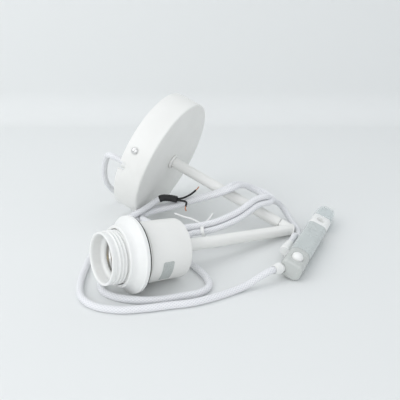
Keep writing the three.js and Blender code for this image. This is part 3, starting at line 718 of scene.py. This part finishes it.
def make_canopy_shell():
    r, wall, face, edge = CANOPY_RADIUS, CANOPY_WALL, CANOPY_FACE, CANOPY_EDGE
    hole = TUBE_HOLE
    outline = [(hole, face), *arc(r - edge, face + edge, edge, -90, 0, 8)]
    outline += filleted([(r, face + 6), (r, CANOPY_BACK), (r - wall, CANOPY_BACK), (r - wall, face + 6)],
                        0.4, closed=False)
    outline += [*arc(r - edge, face + edge, edge - wall, 0, -90, 4), (hole, face + wall)]
    shell = turned("canopy_spun_shell", outline, UPPER, 192)
    sideways = SCREW_TURN @ moved(0, 0, SCREW_HEIGHT) @ Z_TO_X
    holes = rod("holes", 2.2, -70, 70, UPPER @ sideways, 32)
    slot = block("slot", (r - 5, -3.75, CANOPY_BACK - 6), (r + 5, 3.75, CANOPY_BACK + 6), UPPER @ CLIP_TURN)
    worked(shell, "DIFFERENCE", holes, slot)
    softened(shell, 0.18, 2, 50)
    dressed(shell, "white_paint", "canopy_shell")
    lip = [(hole, face - 2.2), (6.4, face - 2.2), (7.2, face - 1.5), (7.2, face - 0.3), (hole, face - 0.3)]
    collar = turned("tube_collar_skin", filleted(lip, 0.3), UPPER, 72)
    dressed(collar, "white_paint", "tube_collar")
    inside = face + wall
    make_nut("tube_nut_chamfered", inside + 2, inside + 6.5, UPPER, "tube_nut")


def make_nut(name, z0, z1, place, node):
    """A hexagon nut with turned chamfers and a threaded-looking bore."""
    r, bore = 9.0, TUBE_RADIUS + 0.4
    hexagon = arc(0, 0, r, 0, 300, 5)
    body = lofted(name, [(hexagon, z0), (hexagon, z1)], place)
    dish = turned("dish", [(0, z0), (r - 1.1, z0), (r + 0.05, z0 + 0.7), (r + 0.05, z1 - 0.7),
                           (r - 1.1, z1), (0, z1)], place, 64, False)
    worked(body, "INTERSECT", dish)
    groove = [(0, z0 - 1)]
    z = z0 - 0.5
    while z < z1 + 0.5:
        groove += [(bore, z), (bore + 0.3, z + 0.375)]
        z += 0.75
    groove += [(bore, z), (0, z)]
    worked(body, "DIFFERENCE", turned("bore", groove, place, 48, False))
    softened(body, 0.1, 1, 40)
    dressed(body, "steel", node)


def make_side_screws():
    """Two pan-headed screws that hold the shell on the crossbar's feet."""
    r = CANOPY_RADIUS
    head = [(3.0, r + 0.3), (3.2, r + 0.5), *arc(0, r - 3.6, 5.1, 50, 90, 6)]
    head = [p for p in head if p[1] <= r + 1.5] + [(0, r + 1.5)]
    shank = [(0, 51.9), (1.3, 51.9)]
    z = 52.2
    while z < r - 1.6:
        shank += [(1.3, z), (1.6, z + 0.35), (1.3, z + 0.7)]
        z += 0.7
    outline = [*shank, (1.6, r - 1.2), (1.6, r + 0.3), *head]
    for node, side in (("side_screw_a", 1), ("side_screw_b", -1)):
        turn = SCREW_TURN @ moved(0, 0, SCREW_HEIGHT) @ Matrix.Rotation(side * pi / 2, 4, "Y")
        screw = turned(node + "_slotted", outline, UPPER @ turn, 48, False)
        slot = block("slot", (-0.4, -4, r + 0.9), (0.4, 4, r + 3), UPPER @ turn)
        worked(screw, "DIFFERENCE", slot)
        dressed(screw, "steel", node)


def make_crossbar():
    """A pressed strip with rounded bends and its holes."""
    half, thick, top, foot = 56.9, 1.6, CANOPY_BACK - 2, CANOPY_FACE + 11
    outer = filleted([(-half, foot), (-half, top), (half, top), (half, foot)], 2.4, False, 6)
    inner = filleted([(half - thick, foot), (half - thick, top - thick), (-half + thick, top - thick),
                      (-half + thick, foot)], 0.9, False, 4)
    lie = UPPER @ SCREW_TURN @ Z_FROM_Y
    strip = lofted("canopy_crossbar_pressed", [(outer + inner, -7), (outer + inner, 7)], lie)
    upright = UPPER @ SCREW_TURN

    def drill(r, x):
        return rod("drill", r, top - 5, top + 5, upright @ moved(x, 0, 0), 40)

    tab = upright @ moved(0, 0, SCREW_HEIGHT) @ Z_TO_X
    worked(strip, "DIFFERENCE", drill(5.5, 0), drill(2.6, 36), drill(2.6, -36), drill(1.9, 18),
           rod("drill", 1.9, -70, 70, tab, 40))
    softened(strip, 0.22, 2, 45)
    dressed(strip, "steel", "canopy_crossbar")


# ---------- lampholder
HOUSING_RADIUS, HOUSING_WALL, HOUSING_REAR, HOUSING_FRONT = 23.2, 1.3, 124.0, 162.6
BARREL_CREST, BARREL_ROOT, BARREL_PITCH = 19.9, 18.75, 2.5
BARREL_HEEL, BARREL_MOUTH = 151.0, 188.7


def make_housing():
    r, wall, rear, front = HOUSING_RADIUS, HOUSING_WALL, HOUSING_REAR, HOUSING_FRONT
    hole = TUBE_HOLE
    outline = [(hole, rear), *arc(r - 2, rear + 2, 2, -90, 0, 10)]
    groove = front - 3.4
    outline += filleted([(r, groove - 2), (r, groove - 0.4), (r - 0.6, groove - 0.3),
                         (r - 0.6, groove + 0.3), (r, groove + 0.4), (r, groove + 1.2)], 0.12, False)
    outline += filleted([(r, front - 1.5), (r, front), (r - wall, front), (r - wall, front - 1.5)],
                        0.35, closed=False)
    outline += [(r - wall, rear + 3.2), *arc(r - 3.2, rear + 3.2, 1.9, 0, -90, 6), (hole, rear + wall)]
    housing = turned("lampholder_housing_skin", outline, LOWER, 160)
    dressed(housing, "white_paint", "holder_housing")
    make_nut("holder_nut_chamfered", rear + wall + 0.3, rear + wall + 4.3, LOWER, "holder_nut")


def helix(name, core, crest, pitch, start, stop, z_low, z_high, flank, place, segments=120):
    """A thread ridge that winds from start to stop and fades in and out at its ends."""
    turns = (stop - start) / pitch
    steps = int(turns * segments)
    buried = core - 0.5
    vertices = []
    for i in range(steps + 1):
        t = i / steps
        fade = min(1.0, 2 * min(t, 1 - t) * turns + 0.02)
        top = core + (crest - core) * fade
        a = 2 * pi * i / segments
        z = start + pitch * i / segments
        ridge = [(buried, -flank * 1.25), (core, -flank), (core + (top - core) * 0.86, -flank * 0.42),
                 (top, -flank * 0.16), (top, flank * 0.16),
                 (core + (top - core) * 0.86, flank * 0.42), (core, flank), (buried, flank * 1.25)]
        for r, dz in ridge:
            vertices.append((r * cos(a), r * sin(a), min(z_high, max(z_low, z + dz))))
    faces = [*quads(steps + 1, len(ridge)), *end_faces(len(ridge), len(vertices))]
    return new_piece(name, vertices, faces, place, 60)


def make_barrel():
    """The threaded barrel with the lamp socket's insulating wall inside it."""
    r, wall, heel, mouth = HOUSING_RADIUS, HOUSING_WALL, BARREL_HEEL, BARREL_MOUTH
    core, crest = BARREL_ROOT, BARREL_CREST
    outline = [(11, heel), (r - wall - 0.3, heel), (r - wall - 0.3, heel + 3), (core, heel + 3.4),
               (core, mouth - 2.6), (crest - 0.4, mouth - 2.2)]
    outline += filleted([(crest - 0.4, mouth - 1.4), (crest - 0.4, mouth), (18, mouth),
                         (17.4, mouth - 1.0)], 0.5, closed=False)
    outline += filleted([(17.3, mouth - 2), (16.9, mouth - 8), (15, mouth - 9.5), (14.6, mouth - 11)],
                        0.8, closed=False)
    outline += [(14.6, heel + 6), (11, heel + 6)]
    barrel = turned("threaded_barrel_skin", outline, LOWER, 160)
    ridge = helix("outer_thread", core, crest, BARREL_PITCH, RING_SEAT + 1.2, mouth - 3.2,
                  heel + 5, mouth - 1.9, 0.85, LOWER)
    dressed(merged(barrel, ridge), "white_plastic", "holder_barrel")


def make_screw_shell():
    """The E27 shell: thin rolled metal whose wall itself winds as a round thread."""
    heel, mouth, pitch, segments = BARREL_HEEL, BARREL_MOUTH, 3.63, 96
    low, high = heel + 9.2, mouth - 10.8
    wall, middle, wave_depth, flare = 0.3, 13.45, 0.42, 0.28
    rows = 70
    vertices = []
    for layer in (wall / 2, -wall / 2):
        for i in range(rows + 1):
            z = low + (high - low) * i / rows
            calm = min(1.0, 5 * min(i, rows - i) / rows)
            for s in range(segments):
                a = 2 * pi * s / segments
                swell = cos(2 * pi * z / pitch - a)
                r = middle + layer + wave_depth * calm * swell + flare * (1 - calm)
                vertices.append((r * cos(a), r * sin(a), z))
    sheet = (rows + 1) * segments
    faces = quads(rows + 1, segments) + quads(rows + 1, segments, sheet)
    for i in (0, rows * segments):
        for s in range(segments):
            j = (s + 1) % segments
            faces.append((i + s, i + j, sheet + i + j, sheet + i + s))
    shell = new_piece("screw_shell_rolled", vertices, faces, LOWER, 70)
    dressed(shell, "steel", "screw_shell")


def make_contacts():
    heel = BARREL_HEEL
    base = [(2, heel + 6.3), (14.2, heel + 6.3), (14.2, heel + 8.9), (9.5, heel + 8.9), (8.7, heel + 8.3),
            (3.2, heel + 8.3), (2, heel + 8.7)]
    disc = turned("contact_base_pressed", filleted(base, 0.25), LOWER, 96)
    dressed(disc, "ceramic", "contact_base")
    top = [(-7, 0.9), *[(x, 0.9 + 4.4 * ((x + 7) / 13) ** 1.25) for x in
                       [-5.5 + 1.2 * k for k in range(9)]], (6.0, 5.3)]
    outline = [(x, z + heel + 9.2 - 0.35) for x, z in top]
    outline += [(x, z + heel + 9.2 + 0.35) for x, z in reversed(top)]
    lie = LOWER @ Z_FROM_Y
    leaf = lofted("centre_contact_leaf", [(outline, -2.4), (outline, 2.4)], lie)
    softened(leaf, 0.12, 2, 40)
    dressed(leaf, "brass", "centre_contact")


def make_shade_ring():
    """The ring that clamps a shade: a flat flange, a hollow-sided grip and a narrower front."""
    rim, bore, seat, edge = RING_RADIUS, 20.4, RING_SEAT, 0.5
    outline = [(bore, seat), *arc(rim - edge, seat + edge, edge, -90, 0, 6)]
    outline += arc(rim - edge, seat + 3 - edge, edge, 0, 90, 6)
    outline += [(27.6, seat + 3.35), *arc(29.5, seat + 11.2, 6.6, 228, 180, 12)]
    outline += [(22.85, seat + 11.8), (22.6, seat + 12.2), (22.2, seat + 12.4)]
    outline += filleted([(21.4, seat + 12.4), (bore + 0.2, seat + 12.4), (bore, seat + 11.6)], 0.3, False)
    z = seat + 10.4
    while z > seat + 1.6:
        outline += [(bore, z), (bore + 0.35, z - 0.6), (bore, z - 1.2)]
        z -= BARREL_PITCH
    ring = turned("shade_ring_skin", outline, LOWER, 192)
    dressed(ring, "white_plastic", "shade_ring", body="shade_ring")
    # The slip washer is the body that slides with the ring. Its black colour and its radius, just inside the
    # ring's rim, make a dark band behind the ring: painted shade for the gap between the ring and the
    # housing.
    washer = tube("slip_washer_painted_gap_shade", 28.3, bore, HOUSING_FRONT + 0.3, seat - 0.3, LOWER, 128, 0.2)
    dressed(washer, "black_sleeve", "slip_washer", body="ring_washer")


LABEL_WIDTH, LABEL_CORNER = 9.0, 1.0


def make_label():
    """A blank foil patch that lies round the housing."""
    r, z0 = HOUSING_RADIUS, HOUSING_FRONT - 22
    middle, half, steps = radians(-20), radians(22), 36
    inner, outer = r + 0.06, r + 0.3
    vertices = [(rr * cos(middle + x / r), rr * sin(middle + x / r), z)
                for rr in (inner, outer) for x, z in label_edges(half * r, z0, steps)]
    count = (steps + 1) * 2
    faces = [f for start in (0, count) for f in quads(steps + 1, 2, start, round_points=False)]
    for i in range(steps):
        faces.append((2 * i, 2 * i + 2, count + 2 * i + 2, count + 2 * i))
        faces.append((2 * i + 1, 2 * i + 3, count + 2 * i + 3, count + 2 * i + 1))
    faces += [(0, 1, count + 1, count), (count - 2, count - 1, 2 * count - 1, 2 * count - 2)]
    patch = new_piece("rating_label_blank", vertices, faces, LOWER, 20)
    dressed(patch, "paper", "rating_label")


def label_edges(half_width, z0, steps):
    """Pairs of low and high points across the label, pulled in where its corners are rounded."""
    pairs = []
    for i in range(steps + 1):
        x = -half_width + 2 * half_width * i / steps
        near = max(0.0, abs(x) - (half_width - LABEL_CORNER))
        cut = LABEL_CORNER - sqrt(max(0.0, LABEL_CORNER**2 - near**2))
        pairs += [(x, z0 + cut), (x, z0 + LABEL_WIDTH - cut)]
    return pairs


make_arm()
make_canopy_shell()
make_side_screws()
make_crossbar()
make_housing()
make_barrel()
make_screw_shell()
make_contacts()
make_shade_ring()
make_label()


# ---------- hand switch
WALL = 1.4
SEAM_CENTRE, SEAM_RADIUS, SEAM_FLAT = 15.0, 10.0, 4.4
SPLIT, JOINT, CAP_JOINT = -1.0, 0.3, 0.5
NOSE_FROM, NOSE_SHOULDER = 99.3, 110.0


def section(inset=0.0, scale=1.0, steps=10):
    w, h = SWITCH_WIDTH / 2 - inset, SWITCH_HEIGHT / 2 - inset
    r = max(SWITCH_CORNER - inset, 0.8)
    corners = ((w - r, h - r, 0), (r - w, h - r, 90), (r - w, r - h, 180), (w - r, r - h, 270))
    points = [p for x, y, a in corners for p in arc(x, y, r, a, a + 90, steps)]
    return [(x * scale, y * scale) for x, y in points]


def upright(r, z, y0, y1, name="upright", segments=72):
    """A rod across the hand switch, out of its top."""
    return rod(name, r, y0, y1, HAND @ moved(0, 0, z) @ Z_TO_Y, segments, 0.01)


def cap_form(grow=0.0):
    """The space the end cap takes: a flat start and a round far edge, seen from above."""
    form = upright(SEAM_RADIUS + grow, SEAM_CENTRE, -20, 20, "cap_form", 128)
    flat = block("flat", (-20, -20, -16), (20, 20, SEAM_CENTRE + SEAM_FLAT + grow), HAND)
    return worked(form, "UNION", flat)


def make_end_cap():
    stations = [(section(2.2), 0.0), (section(1.35), 0.25), (section(0.75), 0.62), (section(0.32), 1.05),
                (section(0.08), 1.6), (section(), 2.3), (section(), 26)]
    darker = smoke_moulding("smoke_moulding_cap", (0.56, 0.58, 0.56))
    cap = lofted("switch_end_cap_skin", stations, HAND)
    worked(cap, "INTERSECT", cap_form())
    hollow = lofted("hollow", [(section(WALL), WALL + 0.4), (section(WALL), 30)], HAND)
    way = upright(BUTTON_RADIUS + 0.3, BUTTON_PLACE, 0, 20)
    relief = rod("relief", 4, -6, 14, HAND @ OUTLET_PLACE, 48)
    worked(cap, "DIFFERENCE", hollow, way, relief)
    softened(cap, 0.2, 2, 40)
    dressed(cap, "grey_plastic", "switch_end_cap", look=darker)


OUTLET_PLACE = moved(*OUTLET) @ Matrix.Rotation(
    pi - OUTLET_TURN, 4, "Y")


def make_shells():
    start, stop = 12.0, 79.7
    for node, low, high in (("switch_lower_shell", -20, SPLIT), ("switch_upper_shell", SPLIT + JOINT, 20)):
        shell = lofted(node + "_skin", [(section(), start), (section(), stop)], HAND)
        hollow = lofted("hollow", [(section(WALL), start - 1), (section(WALL), stop - WALL)], HAND)
        port = rod("port", 2.9, 0, 9, HAND @ moved(5, INLET_Y, INLET_START + 6) @ Z_TO_X, 48)
        half = block("half", (-20, low, 0), (20, high, 100), HAND)
        worked(shell, "INTERSECT", half)
        worked(shell, "DIFFERENCE", hollow, cap_form(CAP_JOINT), port)
        softened(shell, 0.18, 2, 40)
        dressed(shell, "grey_plastic", node)


def make_collar():
    """White collar with a shallow round dish in its top."""
    collar = lofted("switch_collar_skin", [(section(0.55), 80), (section(0.25), 80.2), (section(0.15), 80.5),
                                           (section(0.15), 98.5), (section(0.25), 98.8),
                                           (section(0.55), 99)], HAND)
    hollow = lofted("hollow", [(section(2.2), 81.6), (section(2.2), 99.5)], HAND)
    worked(collar, "DIFFERENCE", hollow)
    cup = upright(4.6, 89.5, SWITCH_HEIGHT / 2 - 5, SWITCH_HEIGHT / 2 - 1)
    worked(collar, "UNION", cup)
    worked(collar, "DIFFERENCE", upright(3.9, 89.5, SWITCH_HEIGHT / 2 - 3.5, 20))
    softened(collar, 0.3, 3, 50)
    dressed(collar, "white_plastic", "switch_collar")


def nose_stations(inset, count=16):
    reach = SWITCH_LENGTH - NOSE_SHOULDER - inset
    stations = [(section(inset), NOSE_FROM - (1 if inset else 0))]
    for i in range(count + 1):
        a = radians(84 * i / count)
        scale = max(cos(a), 0.02) ** 0.7
        stations.append((section(inset, scale), NOSE_SHOULDER + reach * sin(a)))
    return stations


def make_nose():
    nose = lofted("switch_nose_clear", nose_stations(0), HAND, 40)
    worked(nose, "DIFFERENCE", lofted("hollow", nose_stations(1.6), HAND))
    dressed(nose, "clear_plastic", "switch_nose")
    bulb = [(0, 99.3), (3.2, 99.3), (3.2, 100.5), (3.0, 100.8), (2.5, 100.9), (2.5, 104.4)]
    bulb += [(2.5 * cos(a), 104.4 + 2.7 * sin(a)) for a in
             [pi / 2 * k / 10 for k in range(1, 10)]] + [(0, 107.1)]
    lamp = turned("nose_lamp_skin", bulb, HAND, 48, False)
    dressed(lamp, "clear_plastic", "nose_lamp")


def make_glands():
    y, start, stop = INLET_Y, INLET_START, INLET_STOP
    bore = CORD_DIAMETER / MM / 2 + 0.3
    outline = [(0, start), (3.7, start), (3.9, start + 0.2), (4.3, start + 1.5), (4.3, start + 7)]
    for k in range(4):
        z = start + 7.6 + 1.9 * k
        r = 4.3 - 0.7 * (z - start - 7) / 8
        outline += [(r, z), (r - 0.55, z + 0.25), (r - 0.55, z + 0.75), (r - 0.1, z + 1.0)]
    outline += [(3.6, stop - 0.2), (3.4, stop), (0, stop)]
    lie = HAND @ moved(INLET_X, y, 0)
    snout = turned("inlet_gland_skin", outline, lie, 64, False)
    middle = start + 6
    rib = block("rib", (SWITCH_WIDTH / 2 + 0.3, y - 2.5, middle - 4),
                (SWITCH_WIDTH / 2 + 4.6, y + 2.5, middle + 4), HAND)
    stub = rod("stub", 2.6, 0, 3.4, HAND @ moved(SWITCH_WIDTH / 2 - 3, y, middle) @ Z_TO_X, 40)
    worked(snout, "UNION", rib)
    body = block("body", (-20, -30, middle - 12), (SWITCH_WIDTH / 2 + 0.3, 30, middle + 12), HAND)
    worked(snout, "DIFFERENCE", body)
    worked(snout, "UNION", stub)
    worked(snout, "DIFFERENCE", rod("bore", bore, start + 2, stop + 1, lie, 48))
    softened(snout, 0.15, 2, 45)
    dressed(snout, "white_plastic", "inlet_gland")

    outline = [(bore, -2), (3.7, -2), (3.7, 3.9), (4.3, 3.9), (4.5, 4.1), (4.5, 5)]
    for k in range(3):
        z = 5.5 + 1.8 * k
        r = 4.4 - 0.8 * (z - 5) / 6
        outline += [(r, z), (r - 0.5, z + 0.25), (r - 0.5, z + 0.7), (r - 0.1, z + 0.95)]
    stop = OUTLET_LENGTH
    outline += [(3.6, stop - 0.2), (3.4, stop), (bore, stop)]
    relief = turned("outlet_gland_skin", outline, HAND @ OUTLET_PLACE, 64)
    dressed(relief, "white_plastic", "outlet_gland")


def make_button():
    r, top, proud = BUTTON_RADIUS, SWITCH_HEIGHT / 2, 4.2
    dome = [(r * cos(a), top + 0.6 + (proud - 0.6) * sin(a)) for a in [pi / 2 * k / 14 for k in range(15)]]
    outline = [(0, -2.3), (1.1, -2.3), (1.2, -2.2), (1.2, 5), (5.1, 5), (5.2, 5.1), (5.2, 5.7), (5.1, 5.8),
               (r, 5.8), *dome[:-1], (0, top + proud)]
    button = turned("push_button_skin", outline, BUTTON, 72, False)
    dressed(button, "white_plastic", "push_button", body="button")


make_end_cap()
make_shells()
make_collar()
make_nose()
make_glands()
make_button()


# ---------- the tie and small pieces
TIE_AT = Vector((0.003, -0.1076, 0.0152))
TIE_ALONG = Vector((0.975, -0.02, 0.215))
TIE_ENDS = (
    [(2, -106, 19.6), (-6, -100, 22), (-15, -94.5, 22.5), (-23, -89.5, 23.5)],
    [(3, -105, 19.6), (8, -100, 22.5), (11.5, -93.5, 25)],
)


def make_tie():
    """A soft wire twist: one flat loop round the strands and two free ends."""
    along = TIE_ALONG.normalized()
    aside = Vector((along.y, -along.x, 0)).normalized()
    place = frame_from(aside, along.cross(aside), along, TIE_AT - ORIGIN)
    half_w, half_h, r = 7.9, 4.75, 0.85
    vertices = []
    around, sides = 96, 12
    for i in range(around):
        a = 2 * pi * i / around
        centre = Vector((half_w * cos(a), half_h * sin(a), 0.35 * sin(2 * a)))
        out = Vector((half_h * cos(a), half_w * sin(a), 0)).normalized()
        for k in range(sides):
            b = 2 * pi * k / sides
            vertices.append(centre + out * (0.5 * cos(b)) + Vector((0, 0, 1.5 * sin(b))))
    tie = new_piece("hank_tie_wire", vertices, quads(around, sides, round_rows=True), place)
    ends = []
    for i, route in enumerate(TIE_ENDS):
        line = smooth_line(placed(route), 0.0005)
        ends.append(sweep(f"tie_end_{i}", line, r * MM, 14, lambda t: r * MM * (1 - 0.5 * ease(t, 0.96, 1))))
    dressed(merged(tie, *ends), "white_plastic", "hank_tie")


make_tie()

SOFT_EDGES = {
    "terminal_block": 0.45, "tube_washer": 0.15, "cord_clip": 0.3, "live_terminal": 0.3,
    "neutral_terminal": 0.3, "lamp_seat": 0.2, "fixed_contact_a": 0.12, "fixed_contact_b": 0.12,
    "contact_bridge": 0.12, "spring_plate": 0.15, "earth_screw": 0.2, "contact_rivet": 0.15,
    "terminal_screw_1": 0.12, "terminal_screw_2": 0.12, "terminal_screw_3": 0.12, "elbow_nipple": 0.2,
}


def soften_cad_nodes():
    for name, width in SOFT_EDGES.items():
        node = frame["nodes"][name]
        softened(node, width, 2, 50)
        shade(node.data, 50)


soften_cad_nodes()


# ---------- floor, light and finish
COVE_START, COVE_RADIUS, ROOM_HALF, WALL_TOP = 0.396, 0.05, 1.6, 1.7


def make_floor():
    """A pale floor that curves up into a pale wall behind the fitting."""
    profile = [(-ROOM_HALF, 0.0), (COVE_START, 0.0)]
    profile += arc(COVE_START, COVE_RADIUS, COVE_RADIUS, -90, 0, 10)[1:]
    profile.append((COVE_START + COVE_RADIUS, WALL_TOP))
    vertices = [(x, y, z) for x in (-ROOM_HALF, ROOM_HALF) for y, z in profile]
    n = len(profile)
    faces = [(i, i + n, i + n + 1, i + 1) for i in range(n - 1)]
    mesh = bpy.data.meshes.new("floor")
    mesh.from_pydata(vertices, [], faces)
    shade(mesh, 60)
    floor = linked("floor", mesh)
    material, shader = new_look("floor_paper", (0.80, 0.815, 0.81), 0.8)
    grained(material, shader, 3, 0.02, 0.15)
    floor.data.materials.append(material)


LIGHT_TARGET = Vector((0, 0, 0.04))
LIGHTS = (  # name, place and size in metres, power in watts
    ("softbox_left", (-0.85, -0.45, 0.75), (0.9, 0.9), 3.2),
    ("softbox_front", (-0.2, -1.2, 0.45), (0.9, 0.5), 2.0),
    ("overhead", (-0.15, 0.15, 1.2), (0.9, 0.9), 1.5),
)


def make_light(name, at, size, power):
    data = bpy.data.lights.new(name, "AREA")
    data.shape = "RECTANGLE"
    data.size, data.size_y = size
    data.energy = power
    light = linked(name, data)
    light.location = at
    light.rotation_euler = (LIGHT_TARGET - Vector(at)).to_track_quat("-Z", "Y").to_euler()


def make_room_light(strength):
    world = bpy.data.worlds.new("studio")
    bpy.context.scene.world = world
    world.use_nodes = True
    background = world.node_tree.nodes["Background"]
    background.inputs["Color"].default_value = (0.94, 0.965, 1.0, 1)
    background.inputs["Strength"].default_value = strength


bpy.context.scene.view_settings.view_transform = "Standard"
make_floor()
make_room_light(0.8)
for name, at, size, power in LIGHTS:
    make_light(name, at, size, power)
